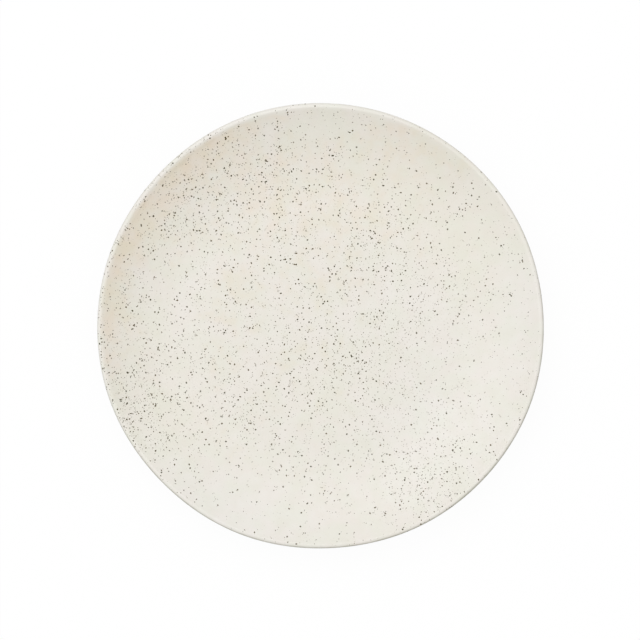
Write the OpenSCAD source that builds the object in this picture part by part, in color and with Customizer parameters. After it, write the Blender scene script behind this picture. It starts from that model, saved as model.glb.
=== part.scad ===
// Coupe dinner plate in speckled stoneware.
// A dished clay body with a full-round lip and a trimmed foot ring, under thin glaze coats that
// leave only the foot bare. The section is made of arcs that run into each other smoothly, and
// each coat is that same section moved out by the thickness of the glaze.
// Millimetres, +Z up. The origin is the centre of the plane that the foot rests on.

/* [Plate] */
// Diameter across the lip, over the glaze
plate_d = 260; // [230:1:300]
// Height from the table to the crest of the lip, over the glaze
plate_h = 26; // [22:0.5:34]
// Diameter of the flat well in the middle of the face
well_d = 148; // [120:1:170]

/* [Clay] */
// Thickness of the clay under the well
floor_t = 5; // [4:0.1:7]
// Thickness of the clay at the lip
lip_t = 3.2; // [2.2:0.1:4.2]

/* [Foot ring] */
// Outer diameter of the foot ring
foot_d = 146; // [120:1:160]
// Width of the foot ring
foot_w = 6; // [4:0.1:9]
// Height of the foot ring below the underside
foot_h = 4; // [3.4:0.1:5.5]
// Radius of the rounded edges that the foot stands on
foot_edge_r = 1; // [0.5:0.1:1.4]
// Radius of the fillet between the foot ring and the underside
foot_fillet_r = 1.6; // [0.8:0.1:2.2]
// Height of the bare clay at the bottom of the foot ring's sides
foot_bare_h = 1.6; // [1.4:0.1:2]

/* [Glaze] */
// Thickness of the fired glaze
glaze_t = 0.4; // [0.3:0.05:0.6]

/* [Hidden] */

// Smoothness of the round forms
$fn = 240;
wall_steps = 32;
lip_steps = 12;
fillet_steps = 8;

// Colours of the bare clay and of the glaze
clay_colour = "#cfbfa3";
glaze_colour = "#e9e5db";

// Levels and radii of the clay
clay_r = plate_d / 2 - glaze_t;
clay_top = plate_h - glaze_t;
well_r = well_d / 2;
lip_r = lip_t / 2;
foot_r = foot_d / 2;
foot_inner_r = foot_r - foot_w;
floor_top = foot_h + floor_t;

// The face is one arc that leaves the well level and runs into the round of the lip.
// Its angle and radius follow from how far the wall reaches out and how far it rises.
wall_run = clay_r - lip_r - well_r;
wall_rise = clay_top - floor_top;
wall_angle = 2 * atan(wall_rise / wall_run);
face_r = wall_run / sin(wall_angle) - lip_r;
face_centre = [well_r, floor_top + face_r];
lip_centre = [clay_r - lip_r, clay_top - lip_r];

// The underside is one arc too, from the round of the lip to the level of the floor's underside,
// so the wall thins evenly from the floor to the lip.
under_r = (lip_centre.y - lip_r * cos(wall_angle) - foot_h) / (1 - cos(wall_angle));
under_centre = [lip_centre.x + (lip_r - under_r) * sin(wall_angle), foot_h + under_r];

// The outer fillet touches the foot's side and the arc of the underside.
meet_angle = asin((foot_r + foot_fillet_r - under_centre.x) / (under_r + foot_fillet_r));
outer_fillet_centre = [
    foot_r + foot_fillet_r,
    under_centre.y - (under_r + foot_fillet_r) * cos(meet_angle)
];
inner_fillet_centre = [foot_inner_r - foot_fillet_r, foot_h - foot_fillet_r];

// Points along an arc, from one direction to another
function arc(centre, radius, from, to, steps) = [
    for (i = [0 : steps])
        let (a = from + (to - from) * i / steps)
        centre + radius * [cos(a), sin(a)]
];

// Lines set end to end, each without the point that it shares with the line before it
function joined(lines) = [
    for (i = [0 : len(lines) - 1])
        for (j = [min(i, 1) : len(lines[i]) - 1])
            lines[i][j]
];

function reversed(points) = [for (i = [len(points) - 1 : -1 : 0]) points[i]];

// The lines of the section, as seen on the side of +X. Each can be moved out of the clay by t.
function face_line(t) = joined([
    [[0, floor_top + t], [well_r, floor_top + t]],
    arc(face_centre, face_r - t, -90, wall_angle - 90, wall_steps),
    arc(lip_centre, lip_r + t, 90 + wall_angle, 0, lip_steps)
]);

function underside_line(t) = joined([
    arc(lip_centre, lip_r + t, 0, wall_angle - 90, lip_steps),
    arc(under_centre, under_r + t, wall_angle - 90, meet_angle - 90, wall_steps),
    arc(outer_fillet_centre, foot_fillet_r - t, meet_angle + 90, 180, fillet_steps)
]);

function foot_well_line(t) = joined([
    [[0, foot_h - t], [inner_fillet_centre.x, foot_h - t]],
    arc(inner_fillet_centre, foot_fillet_r - t, 90, 0, fillet_steps)
]);

// The flat that the ring stands on, between its two rounded edges
function foot_line() = concat(
    arc([foot_r - foot_edge_r, foot_edge_r], foot_edge_r, 0, -90, fillet_steps),
    arc([foot_inner_r + foot_edge_r, foot_edge_r], foot_edge_r, -90, -180, fillet_steps)
);

// The end of a coat on the ring's side, drawn thin towards the bare clay.
// Side is 1 on the outside of the ring and -1 on the inside.
function coat_end(radius, side) = [
    for (p = arc([0, foot_bare_h + glaze_t], glaze_t, -90, 0, fillet_steps))
        [radius + side * p.x, p.y]
];

module stoneware_body() {
    color(clay_colour)
    rotate_extrude()
    polygon(concat(
        joined([face_line(0), underside_line(0)]),
        foot_line(),
        reversed(foot_well_line(0))
    ));
}

module face_glaze() {
    color(glaze_colour)
    rotate_extrude()
    polygon(concat(face_line(0), reversed(face_line(glaze_t))));
}

module underside_glaze() {
    color(glaze_colour)
    rotate_extrude()
    polygon(concat(
        underside_line(0),
        coat_end(foot_r, 1),
        reversed(underside_line(glaze_t))
    ));
}

module foot_well_glaze() {
    color(glaze_colour)
    rotate_extrude()
    polygon(concat(
        foot_well_line(0),
        coat_end(foot_inner_r, -1),
        reversed(foot_well_line(glaze_t))
    ));
}

stoneware_body();
face_glaze();
underside_glaze();
foot_well_glaze();
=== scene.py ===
import math

import bmesh
import bpy
import numpy as np
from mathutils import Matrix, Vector


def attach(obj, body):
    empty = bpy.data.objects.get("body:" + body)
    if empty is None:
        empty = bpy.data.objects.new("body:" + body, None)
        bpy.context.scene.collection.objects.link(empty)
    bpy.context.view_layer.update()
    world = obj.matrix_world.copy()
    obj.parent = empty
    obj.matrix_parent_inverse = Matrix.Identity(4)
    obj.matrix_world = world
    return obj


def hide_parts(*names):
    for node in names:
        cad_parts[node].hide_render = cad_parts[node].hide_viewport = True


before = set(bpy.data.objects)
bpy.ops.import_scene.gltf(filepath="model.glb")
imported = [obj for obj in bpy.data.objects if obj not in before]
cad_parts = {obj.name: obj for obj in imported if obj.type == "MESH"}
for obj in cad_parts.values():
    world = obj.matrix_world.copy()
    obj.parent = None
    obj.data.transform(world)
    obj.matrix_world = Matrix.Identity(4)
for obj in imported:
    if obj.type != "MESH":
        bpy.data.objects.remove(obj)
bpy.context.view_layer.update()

# Units
MM = 0.001

# The photograph's frame: its side, and the plate's centre and radius in it, in pixels
IMAGE_SIDE_PX = 640
PLATE_CENTRE_X_PX = 320.88
PLATE_CENTRE_Y_PX = 326.15
PLATE_RADIUS_PX = 223.1

# Meshes: steps round the plate, the spacing of the rings across the flat discs, and sharp edges
TURN_STEPS = 360
RING_SPACING = 5 * MM
SHARP_ANGLE = math.radians(40)

# The frame's seam, where its outlines are read: how near a point lies to it, and the decimals kept
SEAM_WITHIN = 0.0001 * MM
SEAM_DECIMALS = 6

# The lip of hand-finished ware swells in and out and rises and falls a little.
# Each row is the number of waves round the plate, their size and where they start.
LIP_SWELLS = (
    (2, 0.17 * MM, math.radians(-3)),
    (3, 0.19 * MM, math.radians(125)),
    (5, 0.15 * MM, math.radians(-177)),
    (7, 0.08 * MM, math.radians(61)),
    (8, 0.10 * MM, math.radians(171)),
)
LIP_RISES = (
    (2, 0.22 * MM, math.radians(70)),
    (3, 0.14 * MM, math.radians(-20)),
    (7, 0.05 * MM, math.radians(110)),
)

# Where the iron specks gather on the face: x and y from the centre, the spread and the weight.
# The floor share is added everywhere, and where the sum reaches the most share no try is turned down.
SPECK_FLOOR_SHARE = 0.20
SPECK_MOST_SHARE = 2.6
FACE_DRIFTS = (
    (-45 * MM, -5 * MM, 70 * MM, 0.62),
    (30 * MM, 0 * MM, 42 * MM, 0.40),
    (-115 * MM, -45 * MM, 20 * MM, 1.15),
    (-110 * MM, -51 * MM, 10 * MM, 0.90),
    (-88 * MM, -62 * MM, 14 * MM, 0.35),
    (-122 * MM, 5 * MM, 22 * MM, 0.55),
    (-98 * MM, 64 * MM, 20 * MM, 0.50),
    (-78 * MM, 95 * MM, 24 * MM, 0.88),
    (-14 * MM, 96 * MM, 24 * MM, 0.58),
    (-8 * MM, 114 * MM, 12 * MM, -0.35),
    (-44 * MM, 93 * MM, 12 * MM, 0.30),
    (-84 * MM, 27 * MM, 13 * MM, -0.20),
    (22 * MM, -22 * MM, 12 * MM, 0.45),
    (-54 * MM, -36 * MM, 14 * MM, 0.25),
    (34 * MM, 58 * MM, 16 * MM, 0.66),
    (42 * MM, -8 * MM, 24 * MM, 0.34),
    (98 * MM, 12 * MM, 16 * MM, 0.20),
    (58 * MM, 22 * MM, 15 * MM, 0.40),
    (94 * MM, 46 * MM, 24 * MM, 0.20),
    (64 * MM, -96 * MM, 16 * MM, 1.60),
    (70 * MM, -40 * MM, 16 * MM, 0.25),
    (86 * MM, -66 * MM, 12 * MM, 0.30),
    (-42 * MM, -106 * MM, 24 * MM, -0.16),
    (55 * MM, -62 * MM, 24 * MM, 0.35),
    (12 * MM, -45 * MM, 26 * MM, 0.30),
)
# Where the specks of the face are finer (negative) or coarser, in the same form
FACE_GRAINS = (
    (62 * MM, -32 * MM, 42 * MM, -0.26),
    (-8 * MM, 88 * MM, 38 * MM, 0.08),
    (-102 * MM, -52 * MM, 26 * MM, 0.02),
    (-20 * MM, -108 * MM, 22 * MM, 0.14),
    (22 * MM, -22 * MM, 13 * MM, 0.12),
)
# Where the back's specks and its flush gather, in the same form
UNDERSIDE_DRIFTS = (
    (-60 * MM, 50 * MM, 55 * MM, 0.60),
    (70 * MM, 60 * MM, 40 * MM, 0.50),
    (20 * MM, -95 * MM, 45 * MM, 0.60),
    (-95 * MM, -60 * MM, 30 * MM, 0.50),
    (0 * MM, 0 * MM, 50 * MM, 0.40),
)

# How many specks each coat is given, and how far they stay from the lip's outermost line and the foot
SPECK_SEED = 11
FACE_SPECKS = 10600
UNDERSIDE_SPECKS = 3400
FOOT_WELL_SPECKS = 1200
LIP_MARGIN = 0.1 * MM
FOOT_MARGIN = 1 * MM

# The share of the specks that lie close to another one, and how far from it
CLUSTER_SHARE = 0.18
CLUSTER_REACH = (0.7 * MM, 2.4 * MM)

# Specks that the glaze carried to the crest of the lip and left there, on the left of the plate
CREST_SPECKS = 55
CREST_IN = 2.0 * MM
CREST_SPREAD = 0.35 * MM
CREST_ARC = (math.radians(118), math.radians(226))

# The radius of a speck with its halo, how much it varies, its least and most, and the sides it gets
SPECK_RADIUS = 0.201 * MM
SPECK_SPREAD_SHARE = 0.46
SPECK_RADIUS_LEAST = 0.09 * MM
SPECK_RADIUS_MOST = 0.49 * MM
COARSE_RADIUS = 0.30 * MM
COARSE_SIDES = 10
FINE_SIDES = 5

# The form of a speck: how far its core reaches, the waves of its edge, and how long it may be drawn.
# Its middle stands up by its lift, the edge of its core by a share of that, and its rim and its
# root lie below the glaze's surface.
SPECK_CORE_SHARE = 0.82
SPECK_EDGE_SHARES = ((2, 0.16), (3, 0.10), (4, 0.06))
SPECK_STRETCH_SHARE = 0.35
SPECK_LIFT_SHARE = 0.08
CORE_LIFT_SHARE = 0.6
SPECK_SUNK = 0.004 * MM
SPECK_ROOT = 0.12 * MM

# Nearer the axis than this, a speck's reach around it is turned into an angle as if it lay here
TURN_RADIUS_LEAST = 1 * MM

# How dark a speck is: a base, what its size adds, what varies, the least, and the halo's share of it
DEPTH_BASE_SHARE = 0.15
DEPTH_SIZE_SHARE = 0.65
DEPTH_SPREAD_SHARE = 0.22
DEPTH_LEAST_SHARE = 0.12
HALO_DEPTH_SHARE = 0.12

# Where the glaze is warm (positive) or pale (negative): partly thin and thick glaze, and partly painted
# shade on the upper-left wall, painted highlights along the crest of the lip and painted light that evens
# the walls' shading.
# The angle and radius of each place, its spread outwards and around, and its weight
FLUSH_AND_SHADE_PLACES = (
    # Painted shade on the upper-left wall, partly thin warm glaze
    (math.radians(128), 127 * MM, 9 * MM, math.radians(26), 0.70),
    (math.radians(180), 127 * MM, 7 * MM, math.radians(22), 0.50),
    (math.radians(112), 112 * MM, 20 * MM, math.radians(62), 0.36),
    # Painted highlight along the crest of the lip on the left, with painted shade just inside it
    (math.radians(125), 128.7 * MM, 1.3 * MM, math.radians(42), -1.60),
    (math.radians(184), 129.4 * MM, 0.7 * MM, math.radians(18), -1.80),
    (math.radians(184), 128.0 * MM, 0.45 * MM, math.radians(18), 0.45),
    # Painted light and shade that even the shading of the walls and the well
    (math.radians(165), 103 * MM, 14 * MM, math.radians(26), -0.40),
    (math.radians(85), 68 * MM, 14 * MM, math.radians(30), 0.30),
    (math.radians(97), 122 * MM, 10 * MM, math.radians(14), -0.68),
    (math.radians(242), 120 * MM, 14 * MM, math.radians(17), -0.75),
    (math.radians(20), 122 * MM, 13 * MM, math.radians(18), -0.80),
    (math.radians(-35), 80 * MM, 36 * MM, math.radians(50), -0.45),
    (math.radians(-40), 118 * MM, 16 * MM, math.radians(42), -0.22),
    (math.radians(212), 124 * MM, 9 * MM, math.radians(15), -0.80),
    (math.radians(52), 122 * MM, 12 * MM, math.radians(14), 0.22),
    (math.radians(60), 100 * MM, 15 * MM, math.radians(15), -0.34),
    (math.radians(18), 48 * MM, 12 * MM, math.radians(18), -0.30),
    (math.radians(-41), 86 * MM, 12 * MM, math.radians(10), -0.30),
    (math.radians(180), 79 * MM, 6 * MM, math.radians(24), -0.40),
)

# Where the lip and the wall just inside it are darkened, in the same form: partly glaze drawn so thin
# that the clay shows, and partly painted shade on the lip's outer side, strongest at the lower right, and
# just inside the lip
LIP_BREAKS_AND_SHADE = (
    # Painted shade on the lip's outer side at the lower right, partly thin glaze
    (math.radians(-60), 130 * MM, 0.75 * MM, math.radians(64), 1.60),
    (math.radians(-44), 128.9 * MM, 0.7 * MM, math.radians(7), 0.45),
    (math.radians(3), 130 * MM, 0.75 * MM, math.radians(25), 0.25),
    (math.radians(-138), 130 * MM, 0.75 * MM, math.radians(20), 0.55),
    # Painted shade just inside the lip on the left
    (math.radians(134), 125 * MM, 1.3 * MM, math.radians(30), 0.62),
    (math.radians(184), 128 * MM, 0.6 * MM, math.radians(18), 0.52),
)

# Where the glaze is yellower, partly in its own tone and partly as painted bounce light on the shaded
# left and upper walls: x and y from the centre, the spread and the weight
STRAWS_AND_BOUNCE = (
    (-98 * MM, -57 * MM, 22 * MM, 0.50),
    (96 * MM, 55 * MM, 24 * MM, 0.50),
    (-110 * MM, 0 * MM, 16 * MM, 0.30),
    (-88 * MM, 51 * MM, 16 * MM, 0.25),
    (0 * MM, 106 * MM, 20 * MM, 0.25),
    (50 * MM, 86 * MM, 20 * MM, 0.50),
    (0 * MM, -44 * MM, 18 * MM, 0.20),
)

# How far down from the lip the back keeps the face's tints and painted shade, and how strong its own
# flush is
LIP_REACH = 1.8 * MM
BACK_TINT_SHARE = 0.5

# Colours, linear
# The pale glaze also paints highlights, the warm glaze and the break colour paint shade, and the straw
# tint paints bounce light
GLAZE_PALE_AND_HIGHLIGHT = (0.842, 0.811, 0.764, 1)
GLAZE_MIDDLE = (0.813, 0.772, 0.711, 1)
GLAZE_WARM_AND_SHADE = (0.800, 0.705, 0.586, 1)
GLAZE_BREAK_AND_SHADE = (0.335, 0.321, 0.232, 1)
OLIVE_TINT = (0.975, 1.000, 0.972, 1)
STRAW_AND_BOUNCE_TINT = (1.000, 0.998, 0.940, 1)
SPECK_DARK = (0.032, 0.027, 0.003, 1)
SPECK_RUST = (0.090, 0.050, 0.005, 1)
SPECK_BROWN = (0.100, 0.075, 0.010, 1)
SPECK_FAINT = (0.400, 0.345, 0.180, 1)
CLAY = (0.560, 0.455, 0.310, 1)
CLAY_DARK = (0.400, 0.300, 0.185, 1)
WHITE = (1, 1, 1, 1)

# Noise: the range that most of it lies in, and its detail
NOISE_RANGE = (0.3, 0.7)
SOFT_DETAIL = 2.0
ROUGH_DETAIL = 3.0
SAND_DETAIL = 4.0

# Glaze: clouds and smaller curds shift the flush and its painted shade and highlights, and curds thin it
# more or less where it breaks and where shade is painted at the lip.
# It has patches of olive and a fine peel.
CLOUD_SIZE = 30 * MM
CLOUD_FLUSH = (-0.16, 0.16)
CURD_SIZE = 7 * MM
CURD_FLUSH = (-0.30, 0.30)
CURD_BREAK_AND_SHADE_SHARES = (0.82, 1.18)
BREAK_AND_SHADE_RANGE = (0.4, 2.2)
OLIVE_SIZE = 13 * MM
OLIVE_RANGE = (0.38, 0.64)
PEEL_SIZE = 2.2 * MM
PEEL_STRENGTH = 0.35
PEEL_DEPTH = 0.02 * MM
GLAZE_ROUGHNESS = (0.36, 0.43)
GLAZE_SPECULAR = 0.32

# The finest iron in the glaze: its cells, which of them hold a grain, and the grains' reach and edge
PEPPER_CELL = 1.1 * MM
PEPPER_RANGE = (0.4, 1)
PEPPER_REACH_SHARES = (0, 0.17)
PEPPER_EDGE = (0, 0.05)
PEPPER_COVER_SHARES = (0, 0.5)

# Specks: the mottling of their depth, and the depths from which they turn brown and then dark
MOTTLE_SIZE = 0.25 * MM
MOTTLE_DEPTH = (-0.1, 0.1)
BROWN_RANGE = (0.05, 0.45)
DARK_RANGE = (0.4, 0.85)
SPECK_GRAIN_SIZE = 0.4 * MM
SPECK_ROUGHNESS = (0.45, 0.65)
SPECK_SPECULAR = 0.12

# Bare clay: sand, darker patches and flecks of iron
SAND_SIZE = 0.6 * MM
SAND_RANGE = (0.45, 0.75)
SAND_COVER_SHARES = (0, 0.45)
SAND_STRENGTH = 0.6
SAND_DEPTH = 0.12 * MM
CLAY_PATCH_SIZE = 12 * MM
CLAY_PATCH_COVER_SHARES = (0, 0.6)
FLECK_CELL = 1.4 * MM
FLECK_RANGE = (0.10, 0.18)
FLECK_COVER_SHARES = (0.8, 0)
CLAY_ROUGHNESS = (0.82, 0.95)

# Floor and world: they look white, and the light that they cast is dimmer
WHITE_LEVEL = 1.0
WORLD_LEVEL = 0.66
FLOOR_PALE = (0.40, 0.40, 0.40, 1)
FLOOR_WHITE_SHARE = 0.95
FLOOR_SIDE = 8.0

# Soft boxes: name, azimuth, tilt from overhead, distance, side and power
SOFT_BOXES = (
    ("key_light", math.radians(130), math.radians(27), 3.6, 3.0, 50.0),
    ("fill_light", math.radians(0), math.radians(16), 3.6, 0.9, 7.0),
)

# Camera
LENS_MM = 100
SENSOR_MM = 36


def section_outline(node_name):
    """The node's outline on the side of +X, as (radius, height) points in order along it."""
    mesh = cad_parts[node_name].data
    on_seam = {}
    for vertex in mesh.vertices:
        if abs(vertex.co.y) < SEAM_WITHIN and vertex.co.x > 0:
            on_seam[vertex.index] = (round(vertex.co.x, SEAM_DECIMALS), round(vertex.co.z, SEAM_DECIMALS))
    links = {point: [] for point in on_seam.values()}
    for edge in mesh.edges:
        first, second = (on_seam.get(index) for index in edge.vertices)
        if first and second and first != second and second not in links[first]:
            links[first].append(second)
            links[second].append(first)
    ends = [point for point in links if len(links[point]) == 1]
    line = [max(ends or links, key=lambda point: (point[1], point[0]))]
    while True:
        further = [point for point in links[line[-1]] if point not in line]
        if not further:
            return np.array(line)
        line.append(min(further, key=lambda point: point[1]))


# The plate's own sizes, from the frame
face_outline = section_outline("face_glaze")
well_radius = face_outline[0, 0]
plate_radius = face_outline[:, 0].max()
lip_height = face_outline[face_outline[:, 0].argmax(), 1]


def with_discs(line):
    """An outline that ends at the rims of two flat discs, carried on to the axis in rings."""
    def rings(rim):
        count = round(rim[0] / RING_SPACING)
        return [(rim[0] * step / count, rim[1]) for step in range(count)]

    return np.array([*rings(line[0]), *line, *reversed(rings(line[-1]))])


def waves(angle, rows):
    """The height of a few waves round the plate, at each angle."""
    return sum(size * np.cos(count * angle + start) for count, size, start in rows)


def uneven(points):
    """Points moved by the small unevenness of the wall and lip. The well and the foot stay true."""
    radius = np.hypot(points[:, 0], points[:, 1])
    angle = np.arctan2(points[:, 1], points[:, 0])
    share = np.clip((radius - well_radius) / (plate_radius - well_radius), 0, 1) ** 2
    moved = points.copy()
    moved[:, :2] *= (1 + share * waves(angle, LIP_SWELLS) / plate_radius)[:, None]
    moved[:, 2] += share * waves(angle, LIP_RISES)
    return moved


def mesh_object(name, points, faces):
    """A smooth closed piece from points and faces."""
    mesh = bpy.data.meshes.new(name)
    mesh.from_pydata(points, [], faces)
    work = bmesh.new()
    work.from_mesh(mesh)
    bmesh.ops.recalc_face_normals(work, faces=work.faces)
    work.to_mesh(mesh)
    work.free()
    mesh.polygons.foreach_set("use_smooth", [True] * len(mesh.polygons))
    mesh.set_sharp_from_angle(angle=SHARP_ANGLE)
    piece = bpy.data.objects.new(name, mesh)
    bpy.context.scene.collection.objects.link(piece)
    return piece


def add_values(piece, name, values):
    """One number at each point of a piece, for its material."""
    layer = piece.data.attributes.new(name, "FLOAT", "POINT")
    layer.data.foreach_set("value", np.asarray(values, np.float32))


def turned(name, line, tints=None):
    """A closed outline turned about the axis, with the tints of its glaze at each point, if it has any.

    The points of the outline that lie on the axis become single points.
    """
    angles = np.arange(TURN_STEPS) * math.tau / TURN_STEPS
    points = []
    rings = []
    for radius, height in line:
        start = len(points)
        if radius == 0:
            points.append((0, 0, height))
            rings.append([start] * TURN_STEPS)
        else:
            points.extend((radius * math.cos(a), radius * math.sin(a), height) for a in angles)
            rings.append(list(range(start, start + TURN_STEPS)))
    faces = []
    for here, there in zip(rings, rings[1:] + rings[:1]):
        if here[0] == here[1] and there[0] == there[1]:
            continue
        for step in range(TURN_STEPS):
            after = (step + 1) % TURN_STEPS
            corners = (here[step], here[after], there[after], there[step])
            faces.append(tuple(dict.fromkeys(corners)))
    points = np.array(points)
    piece = mesh_object(name, uneven(points), faces)
    if tints:
        for label, values in tints(points).items():
            add_values(piece, label, values)
    return piece


def drifted(x, y, drifts):
    """The sum of soft round drifts at each place."""
    total = np.zeros_like(x)
    for centre_x, centre_y, spread, weight in drifts:
        away = (x - centre_x) ** 2 + (y - centre_y) ** 2
        total += weight * np.exp(-away / (2 * spread**2))
    return total


def swept(points, rows):
    """The sum of soft places that run round the plate, at each point."""
    radius = np.hypot(points[:, 0], points[:, 1])
    angle = np.arctan2(points[:, 1], points[:, 0])
    total = np.zeros_like(radius)
    for centre_angle, centre_radius, outward, around, weight in rows:
        turn = (angle - centre_angle + math.pi) % math.tau - math.pi
        away = ((radius - centre_radius) / outward) ** 2 + (turn / around) ** 2
        total += weight * np.exp(-away / 2)
    return total


def face_tints(points):
    """How warm or pale, how thin and how yellow the face's glaze is at each point, with painted shade,
    highlights and bounce light among these numbers.
    """
    return {
        "flush_and_shade": swept(points, FLUSH_AND_SHADE_PLACES),
        "break_and_shade": swept(points, LIP_BREAKS_AND_SHADE),
        "straw_and_bounce": drifted(points[:, 0], points[:, 1], STRAWS_AND_BOUNCE),
    }


def back_tints(points):
    """The same for the glaze of the back, which keeps the face's painted shade near the lip and has a
    flush of its own away from the lip.
    """
    at_lip = np.clip(1 - (lip_height - points[:, 2]) / LIP_REACH, 0, 1)
    tints = {label: at_lip * values for label, values in face_tints(points).items()}
    own = BACK_TINT_SHARE * drifted(points[:, 0], points[:, 1], UNDERSIDE_DRIFTS)
    tints["flush_and_shade"] += (1 - at_lip) * own
    return tints


class Surface:
    """A coat's outer surface: a line of (radius, height) points turned about the axis."""

    def __init__(self, line, outward):
        steps = np.diff(line, axis=0)
        lengths = np.hypot(steps[:, 0], steps[:, 1])
        tangents = steps / lengths[:, None]
        normals = outward * np.stack([-tangents[:, 1], tangents[:, 0]], axis=1)
        middles = np.vstack([normals[:1], normals[:-1] + normals[1:], normals[-1:]])
        self.line = line
        self.normals = middles / np.hypot(middles[:, 0], middles[:, 1])[:, None]
        self.along = np.concatenate([[0], np.cumsum(lengths)])

    def along_at(self, radius):
        """How far along the line a radius lies."""
        order = np.argsort(self.line[:, 0])
        return np.interp(radius, self.line[order, 0], self.along[order])

    def points(self, along, angle, lift):
        """Points on the surface, lifted off it."""
        radius, height = (np.interp(along, self.along, self.line[:, i]) for i in range(2))
        out, up = (np.interp(along, self.along, self.normals[:, i]) for i in range(2))
        radius = radius + lift * out
        height = height + lift * up
        return np.stack([radius * np.cos(angle), radius * np.sin(angle), height], axis=-1)


def speck_places(count, inner, outer, drifts, random):
    """Places in plan between two radii, closer together where the drifts are strong."""
    found_x = np.zeros(0)
    found_y = np.zeros(0)
    while len(found_x) < count:
        radius = np.sqrt(random.uniform(inner**2, outer**2, count))
        angle = random.uniform(0, math.tau, count)
        x = radius * np.cos(angle)
        y = radius * np.sin(angle)
        density = SPECK_FLOOR_SHARE + drifted(x, y, drifts)
        kept = random.uniform(0, SPECK_MOST_SHARE, count) < density
        found_x = np.append(found_x, x[kept])
        found_y = np.append(found_y, y[kept])
    x = found_x[:count]
    y = found_y[:count]
    follows = random.uniform(0, 1, count) < CLUSTER_SHARE
    partner = random.integers(0, count, count)
    reach = random.uniform(*CLUSTER_REACH, count)
    turn = random.uniform(0, math.tau, count)
    x = np.where(follows, x[partner] + reach * np.cos(turn), x)
    y = np.where(follows, y[partner] + reach * np.sin(turn), y)
    kept = (np.hypot(x, y) > inner) & (np.hypot(x, y) < outer)
    return x[kept], y[kept]


def speck_pieces(name, surface, x, y, grains, random):
    """The specks of one coat as two pieces, the coarse ones with more sides."""
    size = SPECK_RADIUS * np.exp(SPECK_SPREAD_SHARE * random.standard_normal(len(x)))
    size *= 1 + drifted(x, y, grains)
    size = np.clip(size, SPECK_RADIUS_LEAST, SPECK_RADIUS_MOST)
    coarse = size > COARSE_RADIUS
    fine = ~coarse
    return [
        speck_piece(name + "_coarse", surface, x[coarse], y[coarse], size[coarse], COARSE_SIDES, random),
        speck_piece(name + "_fine", surface, x[fine], y[fine], size[fine], FINE_SIDES, random),
    ]


def speck_rims(size, sides, random):
    """The uneven rims of specks: how far out and how far around each corner lies from the middle."""
    count = len(size)
    stretch = 1 + SPECK_STRETCH_SHARE * random.uniform(0, 1, count) ** 2
    lean = random.uniform(0, math.tau, count)
    turn = np.arange(sides) * math.tau / sides
    edge = np.ones((count, sides))
    for waves_round, share in SPECK_EDGE_SHARES:
        start = random.uniform(0, math.tau, (count, 1))
        edge += share * np.cos(waves_round * turn + start)
    long_way = size[:, None] * edge * np.cos(turn) * stretch[:, None]
    short_way = size[:, None] * edge * np.sin(turn) / np.sqrt(stretch)[:, None]
    outward = long_way * np.cos(lean)[:, None] - short_way * np.sin(lean)[:, None]
    around = long_way * np.sin(lean)[:, None] + short_way * np.cos(lean)[:, None]
    return outward, around


def speck_faces(count, sides):
    """The faces of specks, each with a point on top, a ring round its core, a rim and a root."""
    top, core, rim, root = 0, 1, 1 + sides, 1 + 2 * sides
    pattern = []
    for step in range(sides):
        after = (step + 1) % sides
        pattern.append((top, core + step, core + after))
        pattern.append((core + step, rim + step, rim + after))
        pattern.append((core + step, rim + after, core + after))
        pattern.append((root, rim + after, rim + step))
    starts = np.arange(count)[:, None, None] * (root + 1)
    return (np.array(pattern)[None] + starts).reshape(-1, 3).tolist()


def speck_piece(name, surface, x, y, size, sides, random):
    """Iron specks set into a coat: low, uneven grains, dark with a fainter halo."""
    count = len(x)
    radius = np.hypot(x, y)
    along = surface.along_at(radius)
    angle = np.arctan2(y, x)
    depth = DEPTH_BASE_SHARE + DEPTH_SIZE_SHARE * size / SPECK_RADIUS
    depth = np.clip(depth + DEPTH_SPREAD_SHARE * random.standard_normal(count), DEPTH_LEAST_SHARE, 1)
    outward, around = speck_rims(size, sides, random)
    lift = SPECK_LIFT_SHARE * size

    def ring(share, height):
        angles = angle[:, None] + share * around / np.maximum(radius, TURN_RADIUS_LEAST)[:, None]
        return surface.points(along[:, None] + share * outward, angles, height[:, None])

    layers = (
        surface.points(along, angle, lift)[:, None, :],
        ring(SPECK_CORE_SHARE, CORE_LIFT_SHARE * lift),
        ring(1.0, np.full(count, -SPECK_SUNK)),
        surface.points(along, angle, np.full(count, -SPECK_ROOT))[:, None, :],
    )
    points = np.concatenate(layers, axis=1)
    piece = mesh_object(name, uneven(points.reshape(-1, 3)), speck_faces(count, sides))
    shades = np.ones((count, points.shape[1])) * depth[:, None]
    first_of_rim = 1 + sides
    shades[:, first_of_rim:] *= HALO_DEPTH_SHARE
    add_values(piece, "depth", shades.ravel())
    rust = random.uniform(0, 1, count) ** 2
    add_values(piece, "rust", np.repeat(rust, points.shape[1]))
    return piece


# Sockets of the Mix node in its colour form
MIX_SHARE, MIX_FIRST, MIX_SECOND, MIX_RESULT = 0, 6, 7, 2


def set_inputs(tree, target, inputs):
    """Sets a node's inputs. Each is another node's output, which is linked, or a constant."""
    for name, value in inputs.items():
        if isinstance(value, bpy.types.NodeSocket):
            tree.links.new(value, target.inputs[name])
        else:
            target.inputs[name].default_value = value


def node(tree, kind, inputs=None, **settings):
    """A new node with its settings and inputs."""
    made = tree.nodes.new(kind)
    for name, value in settings.items():
        setattr(made, name, value)
    set_inputs(tree, made, inputs or {})
    return made


def mixed(tree, share, first, second, blend="MIX"):
    """One colour laid over another by a share."""
    inputs = {MIX_SHARE: share, MIX_FIRST: first, MIX_SECOND: second}
    return node(tree, "ShaderNodeMix", inputs, data_type="RGBA", blend_type=blend).outputs[MIX_RESULT]


def maths(tree, operation, *values):
    """A sum or other operation on numbers."""
    return node(tree, "ShaderNodeMath", dict(enumerate(values)), operation=operation).outputs[0]


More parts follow.
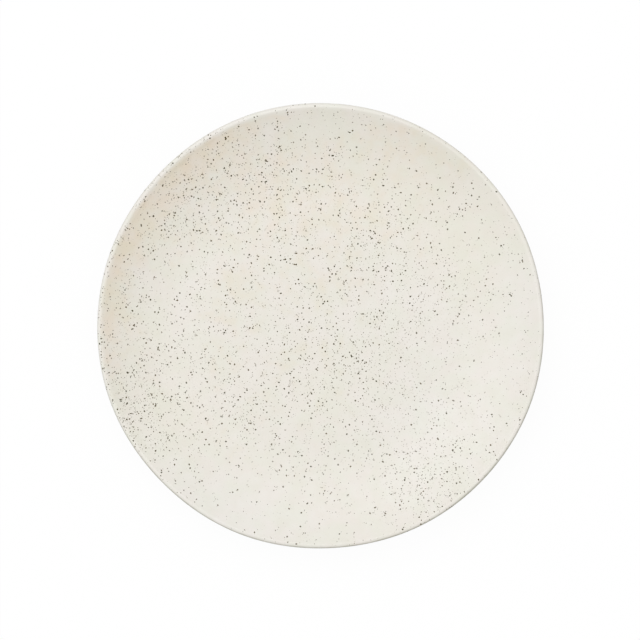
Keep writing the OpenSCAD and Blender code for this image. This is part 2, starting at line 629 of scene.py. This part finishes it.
def ranged(tree, value, source, target=(0, 1)):
    """A number carried from one range to another, and held inside it."""
    inputs = {"Value": value}
    inputs["From Min"], inputs["From Max"] = source
    inputs["To Min"], inputs["To Max"] = target
    return node(tree, "ShaderNodeMapRange", inputs).outputs["Result"]


def noise(tree, coords, size, detail):
    """Noise whose patches are about that size, in metres."""
    inputs = {"Vector": coords, "Scale": 1 / size, "Detail": detail}
    return node(tree, "ShaderNodeTexNoise", inputs).outputs["Fac"]


def cells(tree, coords, size):
    """Cells of about that size, in metres: each one's colour, and the distance from its middle."""
    return node(tree, "ShaderNodeTexVoronoi", {"Vector": coords, "Scale": 1 / size}).outputs


def bumped(tree, height, strength, depth):
    """The surface's direction, roughened by a pattern of heights."""
    inputs = {"Height": height, "Strength": strength, "Distance": depth}
    return node(tree, "ShaderNodeBump", inputs).outputs["Normal"]


def attribute(tree, name):
    """The number that a piece holds at each of its points."""
    return node(tree, "ShaderNodeAttribute", attribute_name=name).outputs["Fac"]


def seen_directly(tree):
    """One where the camera, a reflection or clear glass looks at the thing, and zero for its light."""
    path = node(tree, "ShaderNodeLightPath").outputs
    seen = maths(tree, "MAXIMUM", path["Is Camera Ray"], path["Is Glossy Ray"])
    return maths(tree, "MAXIMUM", seen, path["Is Transmission Ray"])


def new_material(name):
    """A material with nodes: itself, its tree, its shader and its place on the object."""
    material = bpy.data.materials.new(name)
    material.use_nodes = True
    tree = material.node_tree
    coords = node(tree, "ShaderNodeTexCoord").outputs["Object"]
    return material, tree, tree.nodes["Principled BSDF"], coords


def pepper(tree, coords):
    """How strongly the finest iron covers the glaze: a tiny grain in the middle of many cells."""
    cell = cells(tree, coords, PEPPER_CELL)
    chance = node(tree, "ShaderNodeSeparateColor", {"Color": cell["Color"]}).outputs["Red"]
    reach = ranged(tree, chance, PEPPER_RANGE, PEPPER_REACH_SHARES)
    inside = maths(tree, "SUBTRACT", reach, cell["Distance"])
    return ranged(tree, inside, PEPPER_EDGE, PEPPER_COVER_SHARES)


def glaze_material():
    """Satin off-white glaze: clouded, warm where it lies thin, with painted shade, highlights and bounce
    light, peppered with the finest iron.
    """
    material, tree, shader, coords = new_material("speckled_glaze")
    clouds = noise(tree, coords, CLOUD_SIZE, ROUGH_DETAIL)
    curds = noise(tree, coords, CURD_SIZE, ROUGH_DETAIL)
    patches = noise(tree, coords, OLIVE_SIZE, SOFT_DETAIL)
    flush_and_shade = maths(tree, "ADD", attribute(tree, "flush_and_shade"), ranged(tree, clouds, NOISE_RANGE, CLOUD_FLUSH))
    flush_and_shade = maths(tree, "ADD", flush_and_shade, ranged(tree, curds, NOISE_RANGE, CURD_FLUSH))
    # Warm and pale glaze, which also paints shade on the upper-left wall and highlights along the lip
    colour = mixed(tree, ranged(tree, flush_and_shade, (0, 1)), GLAZE_MIDDLE, GLAZE_WARM_AND_SHADE)
    colour = mixed(tree, ranged(tree, flush_and_shade, (-1, 0), (1, 0)), colour, GLAZE_PALE_AND_HIGHLIGHT)
    # The break colour is partly thin glaze and partly painted shade on the lip
    curd_thinning_and_shade = ranged(tree, curds, NOISE_RANGE, CURD_BREAK_AND_SHADE_SHARES)
    thin_and_shade = maths(tree, "MULTIPLY", attribute(tree, "break_and_shade"), curd_thinning_and_shade)
    colour = mixed(tree, ranged(tree, thin_and_shade, BREAK_AND_SHADE_RANGE), colour, GLAZE_BREAK_AND_SHADE)
    colour = mixed(tree, ranged(tree, patches, OLIVE_RANGE), colour, OLIVE_TINT, "MULTIPLY")
    # The straw tint is partly yellower glaze and partly painted bounce light on the shaded walls
    colour = mixed(tree, attribute(tree, "straw_and_bounce"), colour, STRAW_AND_BOUNCE_TINT, "MULTIPLY")
    colour = mixed(tree, pepper(tree, coords), colour, SPECK_BROWN)
    peel = noise(tree, coords, PEEL_SIZE, SOFT_DETAIL)
    set_inputs(tree, shader, {
        "Base Color": colour,
        "Roughness": ranged(tree, curds, NOISE_RANGE, GLAZE_ROUGHNESS),
        "Specular IOR Level": GLAZE_SPECULAR,
        "Normal": bumped(tree, peel, PEEL_STRENGTH, PEEL_DEPTH),
    })
    return material


def speck_material():
    """Iron grains melted into the glaze, from a faint tan haze to nearly black."""
    material, tree, shader, coords = new_material("iron_specks")
    mottle = noise(tree, coords, MOTTLE_SIZE, SOFT_DETAIL)
    depth = maths(tree, "ADD", attribute(tree, "depth"), ranged(tree, mottle, NOISE_RANGE, MOTTLE_DEPTH))
    colour = mixed(tree, ranged(tree, depth, BROWN_RANGE), SPECK_FAINT, SPECK_BROWN)
    core = mixed(tree, attribute(tree, "rust"), SPECK_DARK, SPECK_RUST)
    colour = mixed(tree, ranged(tree, depth, DARK_RANGE), colour, core)
    grain = noise(tree, coords, SPECK_GRAIN_SIZE, SOFT_DETAIL)
    set_inputs(tree, shader, {
        "Base Color": colour,
        "Roughness": ranged(tree, grain, NOISE_RANGE, SPECK_ROUGHNESS),
        "Specular IOR Level": SPECK_SPECULAR,
    })
    return material


def clay_material():
    """Bare fired clay of the foot: sandy, open and flecked with iron."""
    material, tree, shader, coords = new_material("bare_clay")
    sand = noise(tree, coords, SAND_SIZE, SAND_DETAIL)
    patches = noise(tree, coords, CLAY_PATCH_SIZE, ROUGH_DETAIL)
    colour = mixed(tree, ranged(tree, patches, NOISE_RANGE, CLAY_PATCH_COVER_SHARES), CLAY, CLAY_DARK)
    colour = mixed(tree, ranged(tree, sand, SAND_RANGE, SAND_COVER_SHARES), colour, CLAY_DARK)
    away = cells(tree, coords, FLECK_CELL)["Distance"]
    colour = mixed(tree, ranged(tree, away, FLECK_RANGE, FLECK_COVER_SHARES), colour, SPECK_BROWN)
    set_inputs(tree, shader, {
        "Base Color": colour,
        "Roughness": ranged(tree, sand, NOISE_RANGE, CLAY_ROUGHNESS),
        "Normal": bumped(tree, sand, SAND_STRENGTH, SAND_DEPTH),
    })
    return material


def floor_material():
    """White where it is seen, with the plate's soft shadow left on it, and pale for its light."""
    material = bpy.data.materials.new("floor")
    material.use_nodes = True
    tree = material.node_tree
    seen = seen_directly(tree)
    matt = node(tree, "ShaderNodeBsdfDiffuse", {"Color": mixed(tree, seen, FLOOR_PALE, WHITE)})
    white = node(tree, "ShaderNodeEmission", {"Color": WHITE, "Strength": WHITE_LEVEL})
    share = maths(tree, "MULTIPLY", seen, FLOOR_WHITE_SHARE)
    both = node(tree, "ShaderNodeMixShader", {0: share, 1: matt.outputs[0], 2: white.outputs[0]})
    set_inputs(tree, tree.nodes["Material Output"], {"Surface": both.outputs[0]})
    return material


def studio_world():
    """An even soft light, and white behind the plate."""
    world = bpy.data.worlds.new("studio")
    world.use_nodes = True
    tree = world.node_tree
    level = ranged(tree, seen_directly(tree), (0, 1), (WORLD_LEVEL, WHITE_LEVEL))
    set_inputs(tree, tree.nodes["Background"], {"Color": WHITE, "Strength": level})
    return world


def add_soft_box(name, azimuth, tilt, distance, side, power):
    """A square lamp that faces the centre of the floor."""
    lamp = bpy.data.lights.new(name, "AREA")
    lamp.shape = "SQUARE"
    lamp.size = side
    lamp.energy = power
    light = bpy.data.objects.new(name, lamp)
    flat = math.sin(tilt) * distance
    light.location = (flat * math.cos(azimuth), flat * math.sin(azimuth), math.cos(tilt) * distance)
    light.rotation_euler = Vector(light.location).to_track_quat("Z", "Y").to_euler()
    bpy.context.scene.collection.objects.link(light)


# Pieces turned from the frame's own outlines
glaze = glaze_material()
face_line = with_discs(face_outline)
face = turned("face_glaze_coat", face_line, face_tints)
body = turned("clay_body", with_discs(section_outline("stoneware_body")))
underside_outline = section_outline("underside_glaze")
underside = turned("underside_glaze_coat", underside_outline, back_tints)
foot_well_line = with_discs(section_outline("foot_well_glaze"))
foot_well = turned("foot_well_glaze_coat", foot_well_line, back_tints)

for piece, node_name in (
    (face, "face_glaze"),
    (underside, "underside_glaze"),
    (foot_well, "foot_well_glaze"),
):
    piece.data.materials.append(glaze)
    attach(piece, "root")
    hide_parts(node_name)

body.data.materials.append(clay_material())
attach(body, "root")
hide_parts("stoneware_body")

# Outer surfaces of the coats: the stretch of each outline that shows.
# The foot well's is read backwards, because its lower side comes last.
face_surface = Surface(face_line[: face_line[:, 0].argmax() + 1], outward=1)
lowest = underside_outline[:, 1].argmin()
foot_radius = underside_outline[lowest, 0]
underside_surface = Surface(underside_outline[: lowest + 1], outward=1)
foot_well_below = foot_well_line[::-1]
foot_well_radius = foot_well_below[:, 0].max()
foot_well_surface = Surface(foot_well_below[: foot_well_below[:, 0].argmax()], outward=-1)

# Places of the specks on each coat
random = np.random.default_rng(SPECK_SEED)
speck_limit = plate_radius - LIP_MARGIN
face_x, face_y = speck_places(FACE_SPECKS, 0, speck_limit, FACE_DRIFTS, random)
crest_radius = plate_radius - CREST_IN + CREST_SPREAD * random.standard_normal(CREST_SPECKS)
crest_angle = random.uniform(*CREST_ARC, CREST_SPECKS)
face_x = np.append(face_x, crest_radius * np.cos(crest_angle))
face_y = np.append(face_y, crest_radius * np.sin(crest_angle))
under_places = speck_places(
    UNDERSIDE_SPECKS, foot_radius + FOOT_MARGIN, speck_limit, UNDERSIDE_DRIFTS, random)
foot_well_places = speck_places(
    FOOT_WELL_SPECKS, 0, foot_well_radius - FOOT_MARGIN, UNDERSIDE_DRIFTS, random)

# Specks
specks = speck_material()
for piece in (
    *speck_pieces("face_specks", face_surface, face_x, face_y, FACE_GRAINS, random),
    *speck_pieces("underside_specks", underside_surface, *under_places, (), random),
    *speck_pieces("foot_well_specks", foot_well_surface, *foot_well_places, (), random),
):
    piece.data.materials.append(specks)
    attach(piece, "root")

# Floor
bpy.ops.mesh.primitive_plane_add(size=FLOOR_SIDE)
floor = bpy.context.object
floor.name = "floor"
floor.data.materials.append(floor_material())

# Light
bpy.context.scene.world = studio_world()
for soft_box in SOFT_BOXES:
    add_soft_box(*soft_box)

# Camera: straight above, framed as the photograph is
pixel = plate_radius / PLATE_RADIUS_PX
camera_data = bpy.data.cameras.new("camera")
camera_data.lens = LENS_MM
camera_data.sensor_width = SENSOR_MM
camera = bpy.data.objects.new("camera", camera_data)
camera.location = (
    (IMAGE_SIDE_PX / 2 - PLATE_CENTRE_X_PX) * pixel,
    (PLATE_CENTRE_Y_PX - IMAGE_SIDE_PX / 2) * pixel,
    lip_height + IMAGE_SIDE_PX * pixel * LENS_MM / SENSOR_MM,
)
bpy.context.scene.collection.objects.link(camera)
bpy.context.scene.camera = camera

bpy.context.scene.view_settings.view_transform = "Standard"
